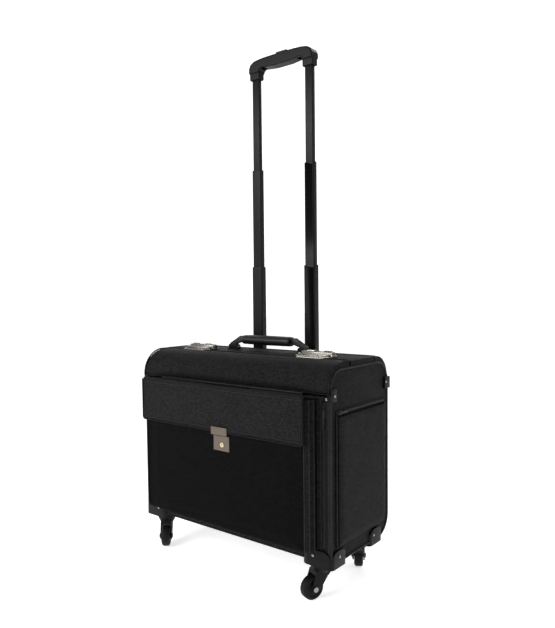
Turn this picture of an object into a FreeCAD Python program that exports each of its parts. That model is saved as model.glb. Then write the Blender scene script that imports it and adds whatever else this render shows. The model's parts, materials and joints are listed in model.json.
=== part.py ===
"""Rolling pilot flight case with a three-stage handle, in millimetres.

X runs across the case, Y from its front (-) to its back (+), Z up from the floor.
Sizes are written about the middle of the case's depth; centre_shift then moves every
sub-part so that the origin is under the middle of the whole object's box."""
import FreeCAD, Part
import math
import os
import re
import Sketcher

DIMENSIONS = {
    # the box of the case
    "case_width": 470, "case_depth": 200, "base_height": 70, "side_top": 406, "lid_top": 418,
    "board": 4, "lid_split": -33, "lid_gap": 0.4, "lid_front": 104.5, "lid_lower": 366.5,
    "shoulder_front": 59.5, "shoulder_back": 101.5, "front_round": 50, "shoulder_round": 42,
    "side_round": 32, "heel_round": 38, "centre_shift": 16.75,
    # the lids' hinges
    "knuckle": 2, "hinge_pin": 1, "front_hinge_depth": -103.5, "front_hinge_height": 364.2,
    "rear_hinge_depth": 56.5, "rear_hinge_height": 416, "hinge_inner": 60, "hinge_outer": 180,
    # the pocket on the front and its flap
    "pocket_half": 199.5, "pocket_foot": 214, "pocket_front": 130, "pocket_low": 92,
    "pocket_high": 360, "pocket_wall": 3, "flap_half": 203, "flap_front": 138, "flap_low": 280,
    "flap_high": 365.5,
    # the key lock
    "lock_middle": 12, "lock_half": 20,
    # the pockets on the sides
    "side_pocket_depth": 7, "side_pocket_front": 84, "side_pocket_back": 84,
    "side_pocket_low": 98, "side_pocket_high": 327, "side_pocket_wall": 2,
    # combination latches
    "latch_middle": 150, "latch_half": 38, "latch_front": -31, "latch_back": -1, "latch_base": 3,
    "dial_radius": 5.5, "dial_width": 3, "dial_pitch": 6, "dial_depth": -9, "dial_height": 424.4,
    "hasp_axis": -19.5, "hasp_height": 422.6, "hasp_pin": 0.8,
    # carry handle
    "handle_depth": 26, "handle_axis": 424, "handle_foot": 92, "handle_pin": 1.5,
    "handle_grip_half": 62, "handle_grip_low": 430, "handle_grip_high": 449,
    # telescopic handle
    "tube_spread": 69.6, "tube_depth": 86, "housing_low": 104, "housing_high": 375,
    "lower_bottom": 339.6, "lower_top": 594.6, "middle_bottom": 550, "middle_top": 804.7,
    "upper_bottom": 765, "upper_top": 1014, "collar_height": 5,
    "grip_low": 997.5, "grip_top": 1039, "grip_half": 82.6, "grip_thickness": 25,
    # casters
    "caster_side": 200, "caster_front": -80, "caster_rear": 50, "caster_trail": 20,
    "wheel_radius": 21, "wheel_width": 17, "axle_radius": 3, "stem_radius": 5,
    "caster_plate": 61.5, "running_gap": 0.05,
}

doc = FreeCAD.newDocument("PilotFlightCase")
dims = doc.addObject("Spreadsheet::Sheet", "Dims")
for row, (alias, number) in enumerate(DIMENSIONS.items(), start=1):
    dims.set(f"A{row}", alias)
    dims.set(f"B{row}", str(number))
    dims.setAlias(f"B{row}", alias)
doc.recompute()

nodes = []


def expression(text):
    """The text with each alias turned into a reference to its cell."""
    return re.sub(r"[a-z][a-z_]+", lambda word: "Dims." + word.group(), str(text))


def bind(thing, prop, text):
    thing.setExpression(prop, expression(text))


def box(x, y, z):
    """A block between two planes on each axis, each written with the sheet's aliases."""
    block = doc.addObject("Part::Box", "Block")
    for size, place, (low, high) in (("Length", "x", x), ("Width", "y", y), ("Height", "z", z)):
        bind(block, size, f"({high}) - ({low})")
        bind(block, "Placement.Base." + place, low)
    return block


AXIS_TURNS = {
    "X": FreeCAD.Rotation(FreeCAD.Vector(0, 1, 0), 90),
    "Y": FreeCAD.Rotation(FreeCAD.Vector(1, 0, 0), -90),
    "Z": FreeCAD.Rotation(),
}


def bar(axis, start, radius, length):
    """A round bar from a start point along an axis."""
    rod = doc.addObject("Part::Cylinder", "Bar")
    rod.Placement = FreeCAD.Placement(FreeCAD.Vector(), AXIS_TURNS[axis])
    bind(rod, "Radius", radius)
    bind(rod, "Height", length)
    for place, text in zip("xyz", start):
        bind(rod, "Placement.Base." + place, text)
    return rod


def cut(base, *tools):
    for tool in tools:
        step = doc.addObject("Part::Cut", "Cut")
        step.Base = base
        step.Tool = tool
        base = step
    doc.recompute()
    return base


def fuse(*things):
    joined = doc.addObject("Part::MultiFuse", "Fuse")
    joined.Shapes = list(things)
    doc.recompute()
    return joined


def common(*things):
    shared = doc.addObject("Part::MultiCommon", "Common")
    shared.Shapes = list(things)
    doc.recompute()
    return shared


def mirrored(thing):
    """The same piece on the other side of the case."""
    image = doc.addObject("Part::Mirroring", "Mirror")
    image.Source = thing
    image.Normal = FreeCAD.Vector(1, 0, 0)
    doc.recompute()
    return image


def rounded(base, radii):
    """The block with edges rounded: 'X -Y +Z' is the edge along X at the front and top."""
    doc.recompute()
    bounds = base.Shape.BoundBox
    limit = {"-X": bounds.XMin, "+X": bounds.XMax, "-Y": bounds.YMin, "+Y": bounds.YMax,
             "-Z": bounds.ZMin, "+Z": bounds.ZMax}
    chosen = []
    for where, radius in radii.items():
        axis, *sides = where.split()
        for number, edge in enumerate(base.Shape.Edges, start=1):
            start, end = (vertex.Point for vertex in (edge.Vertexes[0], edge.Vertexes[-1]))
            along = abs(getattr(end - start, axis.lower()))
            if along < edge.Length - 1e-6 or along < 1e-6:
                continue
            middle = (start + end) / 2
            if all(abs(getattr(middle, side[1].lower()) - limit[side]) < 1e-4 for side in sides):
                chosen.append((number, radius, radius))
    shape = doc.addObject("Part::Fillet", "Rounded")
    shape.Base = base
    shape.Edges = chosen
    doc.recompute()
    return shape


def node(name, *things):
    """One named sub-part, moved with all the others by centre_shift."""
    part = doc.addObject("Part::Compound", name)
    part.Label = name
    part.Links = list(things)
    bind(part, "Placement.Base.y", "centre_shift")
    nodes.append(part)
    return part


def drawing(body, plane, points):
    """A closed sketch of straight lines, each corner bound to two expressions."""
    sketch = body.newObject("Sketcher::SketchObject", "Outline")
    origin = next(item for item in body.Origin.OriginFeatures if item.Role == plane)
    sketch.AttachmentSupport = [(origin, "")]
    sketch.MapMode = "FlatFace"
    count = len(points)
    for number in range(count):
        angle, after = (2 * math.pi * step / count for step in (number, number + 1))
        sketch.addGeometry(Part.LineSegment(
            FreeCAD.Vector(math.cos(angle), math.sin(angle), 0),
            FreeCAD.Vector(math.cos(after), math.sin(after), 0)))
    for number in range(count):
        sketch.addConstraint(
            Sketcher.Constraint("Coincident", number, 2, (number + 1) % count, 1))
    for number, point in enumerate(points):
        for direction, text in zip(("DistanceX", "DistanceY"), point):
            index = sketch.addConstraint(Sketcher.Constraint(direction, -1, 1, number, 1, 1.0))
            bind(sketch, f"Constraints[{index}]", text)
    return sketch


def pad(plane, points, length):
    """A sketched outline made solid, half its length each side of the plane."""
    body = doc.addObject("PartDesign::Body", "Body")
    feature = body.newObject("PartDesign::Pad", "Pad")
    feature.Profile = drawing(body, plane, points)
    feature.Midplane = True
    bind(feature, "Length", length)
    doc.recompute()
    return body


def turned(points):
    """A sketched outline in the YZ plane turned about Y, as on a lathe."""
    body = doc.addObject("PartDesign::Body", "Body")
    sketch = drawing(body, "YZ_Plane", points)
    feature = body.newObject("PartDesign::Revolution", "Revolution")
    feature.Profile = sketch
    feature.ReferenceAxis = (sketch, ["H_Axis"])
    feature.Angle = 360
    doc.recompute()
    return body


def placed(thing, x, y, z, degrees=0):
    """The piece set down at a point and turned about Z."""
    copy = doc.addObject("Part::Compound", "Placed")
    copy.Links = [thing]
    copy.Placement = FreeCAD.Placement(
        FreeCAD.Vector(), FreeCAD.Rotation(FreeCAD.Vector(0, 0, 1), degrees))
    for place, text in zip("xyz", (x, y, z)):
        bind(copy, "Placement.Base." + place, text)
    doc.recompute()
    return copy


size = DIMENSIONS
HALF = "case_width / 2"
INNER = "case_width / 2 - board"
DEEP = "case_depth / 2"

# ---- panels of the case -------------------------------------------------------------------
side_panel = rounded(
    box((INNER, HALF), (f"-{DEEP}", DEEP), ("base_height", "side_top")),
    {"X -Y +Z": size["side_round"], "X +Y +Z": size["shoulder_round"],
     "X +Y -Z": size["heel_round"], "X -Y -Z": 6})
side_panel_left = mirrored(side_panel)
node("side_panel_right", side_panel)
node("side_panel_left", side_panel_left)
node("front_panel", box(
    (f"-({INNER})", INNER), (f"-{DEEP}", f"-{DEEP} + board"), ("base_height + 6", "lid_lower - 5")))
node("bottom_panel", box(
    (f"-({INNER})", INNER), (f"-{DEEP}", "shoulder_front"), ("base_height", "base_height + 6")))
node("divider_panel", box(
    (f"-({INNER}) + 0.5", f"{INNER} - 0.5"), ("18", "21"), ("base_height + 6", "380")))

shoulder_outer = rounded(
    box(("-234.5", "234.5"), ("shoulder_front", "shoulder_back"), ("base_height", "lid_top - 0.5")),
    {"X +Y +Z": size["shoulder_round"] - 0.1, "X +Y -Z": size["heel_round"]})
shoulder_inner = rounded(
    box((f"-({INNER}) + 1", f"{INNER} - 1"), ("shoulder_front - 10", "shoulder_back - board"),
        ("base_height + 6", "lid_top - 4.5")),
    {"X +Y +Z": size["shoulder_round"] - 4, "X +Y -Z": size["heel_round"] - 5})
bezel_openings = [
    box((f"{side} * tube_spread - 20.6", f"{side} * tube_spread + 20.6"),
        ("tube_depth - 13.1", "tube_depth + 12.9"), ("housing_high + 1", "lid_top + 10"))
    for side in (-1, 1)]
node("back_panel", cut(
    shoulder_outer, shoulder_inner, side_panel, side_panel_left, *bezel_openings))

# ---- clips and rivets on the corners -------------------------------------------------------
front_clip = cut(
    box(("221", "239"), ("-102.3", "-86"), ("353", "375")),
    box(("210", "235.2"), ("-100", "-80"), ("350", "380")),
    box(("210", "235.3"), ("-110", "-80"), ("362", "380")))
rear_clip = cut(
    box(("221", "239"), ("86", "105.3"), ("353", "375")),
    box(("210", "235.2"), ("80", "101.6"), ("350", "380")))
node("corner_clips", front_clip, mirrored(front_clip), rear_clip, mirrored(rear_clip))


def rivet(axis, x, y, z, outward):
    """A domed rivet head that stands on a face: a short bar with a rounded rim."""
    height = 1.4
    start = {"X": (x if outward > 0 else x - height, y, z),
             "Y": (x, y if outward > 0 else y - height, z)}[axis]
    head = bar(axis, start, 2.6, height)
    doc.recompute()
    rim = [(number, 1.1, 1.1) for number, edge in enumerate(head.Shape.Edges, start=1)
           if isinstance(edge.Curve, Part.Circle)
           and abs(edge.Curve.Center[0 if axis == "X" else 1] - (x if axis == "X" else y)) > 1]
    dome = doc.addObject("Part::Fillet", "Dome")
    dome.Base = head
    dome.Edges = rim
    doc.recompute()
    return dome


rivets = [
    rivet("Y", 228, -102.3, 357.5, -1), rivet("X", 239, -93, 363, 1),
    rivet("X", 239, 89, 366, 1), rivet("Y", 228, 105.3, 366, 1),
    rivet("Y", 199.5, -104, 81, -1),
    rivet("X", 239, -80, 81, 1), rivet("X", 239, 40, 81, 1)]
node("case_rivets", *rivets, *[mirrored(head) for head in rivets])


# ---- caster housings, forks and wheels ------------------------------------------------------
def housing(depth, front_wall):
    """A corner cup under the case that holds the swivel of one caster."""
    low_y, high_y = f"{depth} - 24", f"{depth} + 24"
    seat = box(("172", "239"), (low_y, high_y), ("caster_plate + 0.5", "base_height"))
    side_tongue = rounded(
        box(("235.2", "239"), (low_y, high_y), ("base_height - 4", "92")),
        {"X -Y +Z": 19, "X +Y +Z": 19})
    tongues = [side_tongue]
    if front_wall:
        tongues.append(rounded(
            box(("172", "239"), (low_y, "-100.2"), ("base_height - 4", "92")),
            {"Y -X +Z": 21, "Y +X +Z": 21}))
    plan = rounded(
        box(("172", "239"), (low_y, high_y), ("caster_plate", "93")),
        {"Z -X +Y": 16, "Z +X +Y": 8, "Z -X -Y": 16, "Z +X -Y": 8})
    cup = common(fuse(seat, *tongues), plan)
    socket = bar("Z", ("caster_side", depth, "55"), "stem_radius + running_gap", "30")
    return cut(cup, socket)


front_housing = housing("caster_front", True)
rear_housing = housing("caster_rear", False)
node("caster_housings", front_housing, mirrored(front_housing),
     rear_housing, mirrored(rear_housing))

fork_block = pad(
    "XZ_Plane",
    [("-15", "caster_plate"), ("15", "caster_plate"), ("17", "50"), ("caster_trail + 7", "24"),
     ("caster_trail + 7", "14"), ("caster_trail - 7", "14"), ("-4", "36"), ("-17", "50")],
    "wheel_width + 7")
fork_block = rounded(fork_block, {"Y +X": 4})
wheel_room = bar(
    "Y", ("caster_trail", "-(wheel_width + 1.6) / 2", "wheel_radius"), "wheel_radius + 2.5",
    "wheel_width + 1.6")
fork_trim = fuse(
    bar("Z", (0, 0, "40"), "17.5", "30"),
    box(("-6", "40"), ("-30", "30"), ("0", "52")))
fork = fuse(
    cut(common(fork_block, fork_trim), wheel_room),
    bar("Z", (0, 0, "caster_plate - 4"), "stem_radius", "11"))
fork = cut(fork, bar(
    "Y", ("caster_trail", "-20", "wheel_radius"), "axle_radius", "40"))
axle = fuse(
    bar("Y", ("caster_trail", "-(wheel_width + 9) / 2", "wheel_radius"), "axle_radius",
        "wheel_width + 9"),
    bar("Y", ("caster_trail", "-(wheel_width + 9) / 2", "wheel_radius"), "axle_radius + 1.5",
        "1"),
    bar("Y", ("caster_trail", "(wheel_width + 7) / 2", "wheel_radius"), "axle_radius + 1.5",
        "1"))
tread, hub = "wheel_radius", "axle_radius + running_gap"
wheel = turned([
    ("-wheel_width / 2 + 1", hub), ("-wheel_width / 2", f"{hub} + 2"),
    ("-wheel_width / 2", f"{hub} + 4"), ("-wheel_width / 2 + 2", f"{hub} + 5"),
    ("-wheel_width / 2 + 2", f"{tread} - 7"), ("-wheel_width / 2", f"{tread} - 6"),
    ("-wheel_width / 2", f"{tread} - 3"), ("-wheel_width / 2 + 3", tread),
    ("wheel_width / 2 - 3", tread), ("wheel_width / 2", f"{tread} - 3"),
    ("wheel_width / 2", f"{tread} - 6"), ("wheel_width / 2 - 2", f"{tread} - 7"),
    ("wheel_width / 2 - 2", f"{hub} + 5"), ("wheel_width / 2", f"{hub} + 4"),
    ("wheel_width / 2", f"{hub} + 2"), ("wheel_width / 2 - 1", hub)])
wheel_in_fork = placed(wheel, "caster_trail", "0", "wheel_radius")

CASTER_PLACES = {
    "front_left": ("-caster_side", "caster_front", -50),
    "front_right": ("caster_side", "caster_front", -111),
    "rear_left": ("-caster_side", "caster_rear", 60),
    "rear_right": ("caster_side", "caster_rear", 119),
}
for corner, (across, depth, heading) in CASTER_PLACES.items():
    node("caster_fork_" + corner, placed(fork, across, depth, "0", heading),
         placed(axle, across, depth, "0", heading))
    node("caster_wheel_" + corner, placed(wheel_in_fork, across, depth, "0", heading))

# ---- lids, their hinges and the latches' strikes --------------------------------------------
side_envelope = rounded(
    box(("230.4", "240"), (f"-{DEEP} - 0.1", "shoulder_front + 20"), ("base_height", "side_top + 0.6")),
    {"X -Y +Z": size["side_round"]})
side_envelope_left = mirrored(side_envelope)
front_lid_outer = rounded(
    box(("-234.5", "234.5"), ("-lid_front", "lid_split - lid_gap"), ("lid_lower", "lid_top")),
    {"X -Y +Z": size["front_round"]})
front_lid_inner = rounded(
    box(("-229.5", "229.5"), ("-lid_front + board", "lid_split + 5"),
        ("lid_lower - 5", "lid_top - board")),
    {"X -Y +Z": size["front_round"] - 4})
node("front_lid", cut(front_lid_outer, front_lid_inner, side_envelope, side_envelope_left))
rear_lid_outer = box(
    ("-234.5", "234.5"), ("lid_split + lid_gap", "rear_hinge_depth - 2.5"), ("side_top + 0.6", "lid_top"))
rear_lid_inner = box(
    ("-229.5", "229.5"), ("lid_split - 5", "rear_hinge_depth"), ("base_height", "lid_top - board"))
node("rear_lid", cut(rear_lid_outer, rear_lid_inner))


def knuckles(y, z, spans, radius="knuckle"):
    return [bar("X", (low, y, z), radius, f"({high}) - ({low})") for low, high in spans]


CASE_SPANS = (("-hinge_outer", "-hinge_inner"), ("hinge_inner", "hinge_outer"))
LID_SPANS = (("-hinge_inner + 0.5", "hinge_inner - 0.5"),)
FRONT_AXIS = ("front_hinge_depth", "front_hinge_height")
REAR_AXIS = ("rear_hinge_depth", "rear_hinge_height")


def pin_hole(axis, gap):
    return bar("X", ("-hinge_outer - 10", *axis), f"hinge_pin + {gap}", "2 * hinge_outer + 20")


front_case_leaf = cut(fuse(
    *knuckles(*FRONT_AXIS, CASE_SPANS),
    *[box(span, ("-102", f"-{DEEP}"), ("340", "front_hinge_height")) for span in CASE_SPANS]),
    pin_hole(FRONT_AXIS, "0"))
rear_case_leaf = cut(fuse(
    *knuckles(*REAR_AXIS, CASE_SPANS),
    *[box(span, ("rear_hinge_depth", "shoulder_front"), ("lid_top - 7.5", "lid_top - 3"))
      for span in CASE_SPANS],
    *[box(span, ("rear_hinge_depth", "shoulder_front + 7"), ("lid_top - 7.5", "lid_top - 5.5"))
      for span in CASE_SPANS]), pin_hole(REAR_AXIS, "0"))
node("hinge_case_leaves", front_case_leaf, rear_case_leaf)
node("hinge_pins", *[
    bar("X", ("-hinge_outer", *axis), "hinge_pin", "2 * hinge_outer")
    for axis in (FRONT_AXIS, REAR_AXIS)])
node("front_lid_hinge_leaf", cut(fuse(
    *knuckles(*FRONT_AXIS, LID_SPANS),
    box(LID_SPANS[0], ("-lid_front + 0.2", "-99"), ("lid_lower - 1.2", "lid_lower"))),
    pin_hole(FRONT_AXIS, "running_gap")))
node("rear_lid_hinge_leaf", cut(fuse(
    *knuckles(*REAR_AXIS, LID_SPANS),
    box(LID_SPANS[0], ("rear_hinge_depth - 2.5", "rear_hinge_depth"), ("lid_top - 6", "lid_top - 2")),
    box(LID_SPANS[0], ("rear_hinge_depth - 16", "rear_hinge_depth"), ("lid_top - 6", "lid_top - 4"))),
    pin_hole(REAR_AXIS, "running_gap")))
strike = rounded(
    box(("latch_middle - 30", "latch_middle + 30"), ("lid_split - 9", "lid_split - 0.8"),
        ("lid_top", "lid_top + 1.4")), {"Z -Y +X": 3, "Z -Y -X": 3})
node("latch_strikes", strike, mirrored(strike))

# ---- combination latches ---------------------------------------------------------------------
MIDDLE = "latch_middle"
base_plate = rounded(
    box((f"{MIDDLE} - latch_half", f"{MIDDLE} + latch_half"), ("latch_front", "latch_back"),
        ("lid_top", "lid_top + latch_base")),
    {"Z -Y +X": 2, "Z -Y -X": 2, "Z +Y +X": 5, "Z +Y -X": 5})
dial_house = rounded(
    box((f"{MIDDLE} - 34", f"{MIDDLE} + 34"), ("-16.5", "-2"), ("lid_top + 2", "lid_top + 10.5")),
    {"X -Y +Z": 2.5, "X +Y +Z": 4, "Y +X +Z": 3, "Y -X +Z": 3})
ears = [box((low, high), ("hasp_axis - 2", "hasp_axis + 2"), ("lid_top + 2", "hasp_height + 2"))
        for low, high in ((f"{MIDDLE} - 37.5", f"{MIDDLE} - 34.5"),
                          (f"{MIDDLE} + 34.5", f"{MIDDLE} + 37.5"))]
DIALS = ("outer", "middle", "inner")
DIAL_PLACES = {name: f"{MIDDLE} + 28 - {step} * dial_pitch" for step, name in enumerate(DIALS)}
slots = [box((f"{place} - 2", f"{place} + 2"), ("dial_depth - 6.1", "dial_depth + 6.1"),
             ("lid_top - 1", "lid_top + 20")) for place in DIAL_PLACES.values()]
slide_slot = box((f"{MIDDLE} - 30", f"{MIDDLE} + 4"), ("-13", "-5"), ("lid_top + 5", "lid_top + 20"))
dial_axle_hole = bar("X", (f"{MIDDLE} + 8", "dial_depth", "dial_height"), "1", "40")
hasp_pin_hole = bar("X", (f"{MIDDLE} - 40", "hasp_axis", "hasp_height"), "hasp_pin", "80")
latch = cut(fuse(base_plate, dial_house, *ears), *slots, slide_slot, dial_axle_hole, hasp_pin_hole)
node("latch_bases", latch, mirrored(latch))
dial_axle = bar("X", (f"{MIDDLE} + 10", "dial_depth", "dial_height"), "1", "23")
hasp_rod = bar("X", (f"{MIDDLE} - 37.5", "hasp_axis", "hasp_height"), "hasp_pin", "75")
hasp = cut(fuse(
    rounded(box((f"{MIDDLE} - 34", f"{MIDDLE} + 34"), ("latch_front + 0.5", "hasp_axis"),
                ("hasp_height - 1.2", "hasp_height + 1.6")),
            {"Z -Y +X": 4, "Z -Y -X": 4, "X -Y +Z": 1}),
    bar("X", (f"{MIDDLE} - 34", "hasp_axis", "hasp_height"), "1.6", "68"),
    box((f"{MIDDLE} - 12", f"{MIDDLE} + 12"), ("latch_front - 1", "latch_front + 1"),
        ("lid_top + 3.2", "hasp_height + 1"))),
    bar("X", (f"{MIDDLE} - 40", "hasp_axis", "hasp_height"), "hasp_pin + running_gap", "80"))
slide = rounded(
    box((f"{MIDDLE} - 20", f"{MIDDLE} - 6"), ("-12.6", "-5.4"), ("lid_top + 5.3", "lid_top + 12")),
    {"Z -Y +X": 2, "Z -Y -X": 2, "Z +Y +X": 2, "Z +Y -X": 2})
node("latch_hasp_right", hasp)
node("latch_hasp_left", mirrored(hasp))
node("latch_slide_right", slide)
node("latch_slide_left", mirrored(slide))
for name, place in DIAL_PLACES.items():
    dial = cut(
        bar("X", (f"{place} - dial_width / 2", "dial_depth", "dial_height"), "dial_radius", "dial_width"),
        bar("X", (f"{place} - 5", "dial_depth", "dial_height"), "1 + running_gap", "10"))
    node(f"dial_right_{name}", dial)
    node(f"dial_left_{name}", mirrored(dial))

# ---- carry handle ------------------------------------------------------------------------------
FOOT = "handle_foot"
foot_plate = rounded(
    box((f"{FOOT} - 15", f"{FOOT} + 15"), ("handle_depth - 10", "handle_depth + 10"),
        ("lid_top", "lid_top + 2")),
    {"Z -Y +X": 4, "Z -Y -X": 4, "Z +Y +X": 4, "Z +Y -X": 4})
foot_ears = [rounded(
    box((low, high), ("handle_depth - 5", "handle_depth + 5"), ("lid_top + 1", "handle_axis + 4")),
    {"X -Y +Z": 4, "X +Y +Z": 4})
    for low, high in ((f"{FOOT} - 13", f"{FOOT} - 10"), (f"{FOOT} + 10", f"{FOOT} + 13"))]
bracket = cut(fuse(foot_plate, *foot_ears), bar(
    "X", (f"{FOOT} - 20", "handle_depth", "handle_axis"), "handle_pin", "40"))
bracket_pin = bar("X", (f"{FOOT} - 13", "handle_depth", "handle_axis"), "handle_pin", "26")
node("carry_handle_brackets", bracket, mirrored(bracket))
pins = (dial_axle, hasp_rod, bracket_pin)
node("lid_pins", *pins, *[mirrored(pin) for pin in pins])
strap = placed(pad("XZ_Plane", [
    (f"{FOOT} - 8", "handle_axis - 2"), (f"{FOOT} + 8", "handle_axis - 2"),
    (f"{FOOT} + 8", "handle_axis + 6"), ("handle_grip_half + 10", "handle_grip_high - 3"),
    ("handle_grip_half", "handle_grip_high - 4"), ("handle_grip_half", "handle_grip_low + 7"),
    (f"{FOOT} - 8", "handle_axis + 6")],
    "7"), "0", "handle_depth", "0")
handle_end = cut(
    fuse(strap, bar("X", (f"{FOOT} - 8", "handle_depth", "handle_axis"), "3.5", "16")),
    bar("X", (f"{FOOT} - 20", "handle_depth", "handle_axis"), "handle_pin + running_gap", "40"))
node("carry_handle_ends", handle_end, mirrored(handle_end))
node("carry_handle_grip", rounded(
    box(("-handle_grip_half", "handle_grip_half"), ("handle_depth - 13", "handle_depth + 13"),
        ("handle_grip_low", "handle_grip_high")),
    {"X -Y +Z": 9, "X +Y +Z": 9, "X -Y -Z": 9, "X +Y -Z": 9}))

# ---- telescopic handle --------------------------------------------------------------------------
def tube(wide, thick, wall, low, high):
    """A flat-sided tube with rounded corners, one on each side of the case."""
    outer = rounded(
        box((f"tube_spread - {wide / 2}", f"tube_spread + {wide / 2}"),
            (f"tube_depth - {thick / 2}", f"tube_depth + {thick / 2}"), (low, high)),
        {"Z +X +Y": 3, "Z +X -Y": 3, "Z -X +Y": 3, "Z -X -Y": 3})
    inner = rounded(
        box((f"tube_spread - {wide / 2 - wall}", f"tube_spread + {wide / 2 - wall}"),
            (f"tube_depth - {thick / 2 - wall}", f"tube_depth + {thick / 2 - wall}"),
            (f"{low} - 1", f"{high} + 1")),
        {"Z +X +Y": 2, "Z +X -Y": 2, "Z -X +Y": 2, "Z -X -Y": 2})
    right = cut(outer, inner)
    return right, mirrored(right)


node("handle_housing", *tube(30.7, 19.7, 1.3, "housing_low", "housing_high"), box(
    ("-tube_spread - 20", "tube_spread + 20"), ("tube_depth - 11", "tube_depth + 5"),
    ("housing_low - 7", "housing_low")))
bezel_face = rounded(
    box(("-120", "120"), ("shoulder_front", "shoulder_back + 1.3"), ("base_height", "lid_top + 0.8")),
    {"X +Y +Z": size["shoulder_round"]})
bezel_blank = box(
    ("tube_spread - 20.5", "tube_spread + 20.5"), ("tube_depth - 13", "tube_depth + 12.8"),
    ("housing_high + 1.1", "lid_top + 9"))
bezel = cut(common(bezel_blank, bezel_face), box(
    ("tube_spread - 14.4", "tube_spread + 14.4"), ("tube_depth - 8.9", "tube_depth + 8.9"),
    ("housing_high - 5", "lid_top + 20")))
node("handle_bezels", bezel, mirrored(bezel))
node("lower_tubes", *tube(27.5, 16.5, 1.2, "lower_bottom", "lower_top - collar_height"),
     *tube(27.5, 16.5, 1.2, "lower_top - collar_height", "lower_top"))
node("middle_tubes", *tube(24, 13, 1.1, "middle_bottom", "middle_top - collar_height"),
     *tube(24, 13, 1.1, "middle_top - collar_height", "middle_top"))
node("upper_tubes", *tube(20, 10, 1, "upper_bottom", "upper_top"))

grip_outline = [
    ("-grip_half", "grip_low"), ("-grip_half + 26", "grip_low"),
    ("-grip_half + 26", "grip_low + 18"), ("-grip_half + 32", "grip_low + 22"),
    ("-20", "grip_low + 18.5"), ("20", "grip_low + 18.5"),
    ("grip_half - 32", "grip_low + 22"), ("grip_half - 26", "grip_low + 18"),
    ("grip_half - 26", "grip_low"), ("grip_half", "grip_low"),
    ("grip_half", "grip_low + 25"), ("grip_half - 4", "grip_low + 33"),
    ("grip_half - 13", "grip_top - 3.5"), ("grip_half - 30", "grip_top - 0.8"),
    ("22", "grip_top"), ("-22", "grip_top"), ("-grip_half + 30", "grip_top - 0.8"),
    ("-grip_half + 13", "grip_top - 3.5"), ("-grip_half + 4", "grip_low + 33"),
    ("-grip_half", "grip_low + 25")]
grip = placed(pad("XZ_Plane", grip_outline, "grip_thickness"), "0", "tube_depth", "0")
WIDE = ("-100", "100")
sleeve_trims = [
    box(WIDE, ("tube_depth - 30", "tube_depth - 9"), ("grip_low - 5", "grip_low + 14")),
    box(WIDE, ("tube_depth + 9", "tube_depth + 30"), ("grip_low - 5", "grip_low + 14"))]
button_room = box(("-grip_half + 8", "grip_half - 8"), ("tube_depth - 6", "tube_depth + 6"),
                  ("grip_low + 22", "grip_low + 32"))
tube_sockets = [box(
    (f"{side} * tube_spread - 10.1", f"{side} * tube_spread + 10.1"),
    ("tube_depth - 5.1", "tube_depth + 5.1"),
    ("grip_low - 5", "upper_top")) for side in (-1, 1)]
rod_ways = [bar("Z", (f"{side} * tube_spread", "tube_depth", "grip_low + 10"), "3", "15")
            for side in (-1, 1)]
button_hole = box(("-15.3", "15.3"), ("tube_depth - 6.3", "tube_depth + 6.3"),
                  ("grip_low + 28", "grip_top + 9"))
grip = cut(grip, *sleeve_trims, button_room, *tube_sockets, *rod_ways, button_hole)
SPLIT = "grip_low + 27"
node("grip_lower_shell", common(grip, box(WIDE, ("50", "120"), ("grip_low - 10", SPLIT))))
node("grip_upper_shell", common(grip, box(WIDE, ("50", "120"), (SPLIT, "grip_top + 10"))))
button = rounded(
    box(("-15", "15"), ("tube_depth - 6", "tube_depth + 6"), ("grip_low + 29", "grip_top + 5")),
    {"Z +X +Y": 4, "Z +X -Y": 4, "Z -X +Y": 4, "Z -X -Y": 4})
node("grip_button", button)
node("release_bar", fuse(
    box(("-tube_spread - 3", "tube_spread + 3"), ("tube_depth - 3", "tube_depth + 3"),
        ("grip_low + 26", "grip_low + 29")),
    *[bar("Z", (f"{side} * tube_spread", "tube_depth", "upper_bottom + 10"), "2",
          "grip_low + 27 - upper_bottom - 10") for side in (-1, 1)]))

# a bent leaf of spring steel under the bar pushes the button back up
spring = placed(pad("XZ_Plane", [
    ("-12", "grip_low + 22"), ("0", "grip_low + 26"), ("12", "grip_low + 22"),
    ("11.2", "grip_low + 22"), ("0", "grip_low + 25.5"), ("-11.2", "grip_low + 22")],
    "8"), "0", "tube_depth", "0")
node("button_spring", spring)

# ---- front pocket, its flap and the key lock --------------------------------------------------------
def wedge(front, back, half_front, half_back, low, high):
    """A block that widens from its front face to its back face."""
    block = doc.addObject("Part::Wedge", "Wedge")
    for prop, text in {
            "Xmin": f"-({half_front})", "Xmax": half_front, "X2min": f"-({half_back})",
            "X2max": half_back, "Ymin": front, "Ymax": back, "Zmin": low, "Zmax": high,
            "Z2min": low, "Z2max": high}.items():
        bind(block, prop, text)
    return block


pocket = cut(
    wedge("-pocket_front", f"-{DEEP}", "pocket_half", "pocket_foot", "pocket_low", "pocket_high"),
    wedge("-pocket_front + pocket_wall", f"-{DEEP} + 1", "pocket_half - pocket_wall",
          "pocket_foot - pocket_wall", "pocket_low + pocket_wall", "pocket_high - pocket_wall"),
    box(("-190", "190"), ("-pocket_front - 5", "-pocket_front + 6"), ("332", "pocket_high - 4")),
    box(("-hinge_outer - 2", "hinge_outer + 2"), ("-102.3", "-95"), ("335", "365")),
    box(("170", "240"), ("-140", "-95"), ("85", "pocket_low + 1.5")),
    box(("-240", "-170"), ("-140", "-95"), ("85", "pocket_low + 1.5")))
node("front_pocket", pocket)
node("front_flap", rounded(
    box(("-flap_half", "flap_half"), ("-flap_front", "-flap_front + 4"), ("flap_low", "flap_high")),
    {"Y -X -Z": 6, "Y +X -Z": 6, "X -Y +Z": 2}))
LOCK = "lock_middle"
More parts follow.
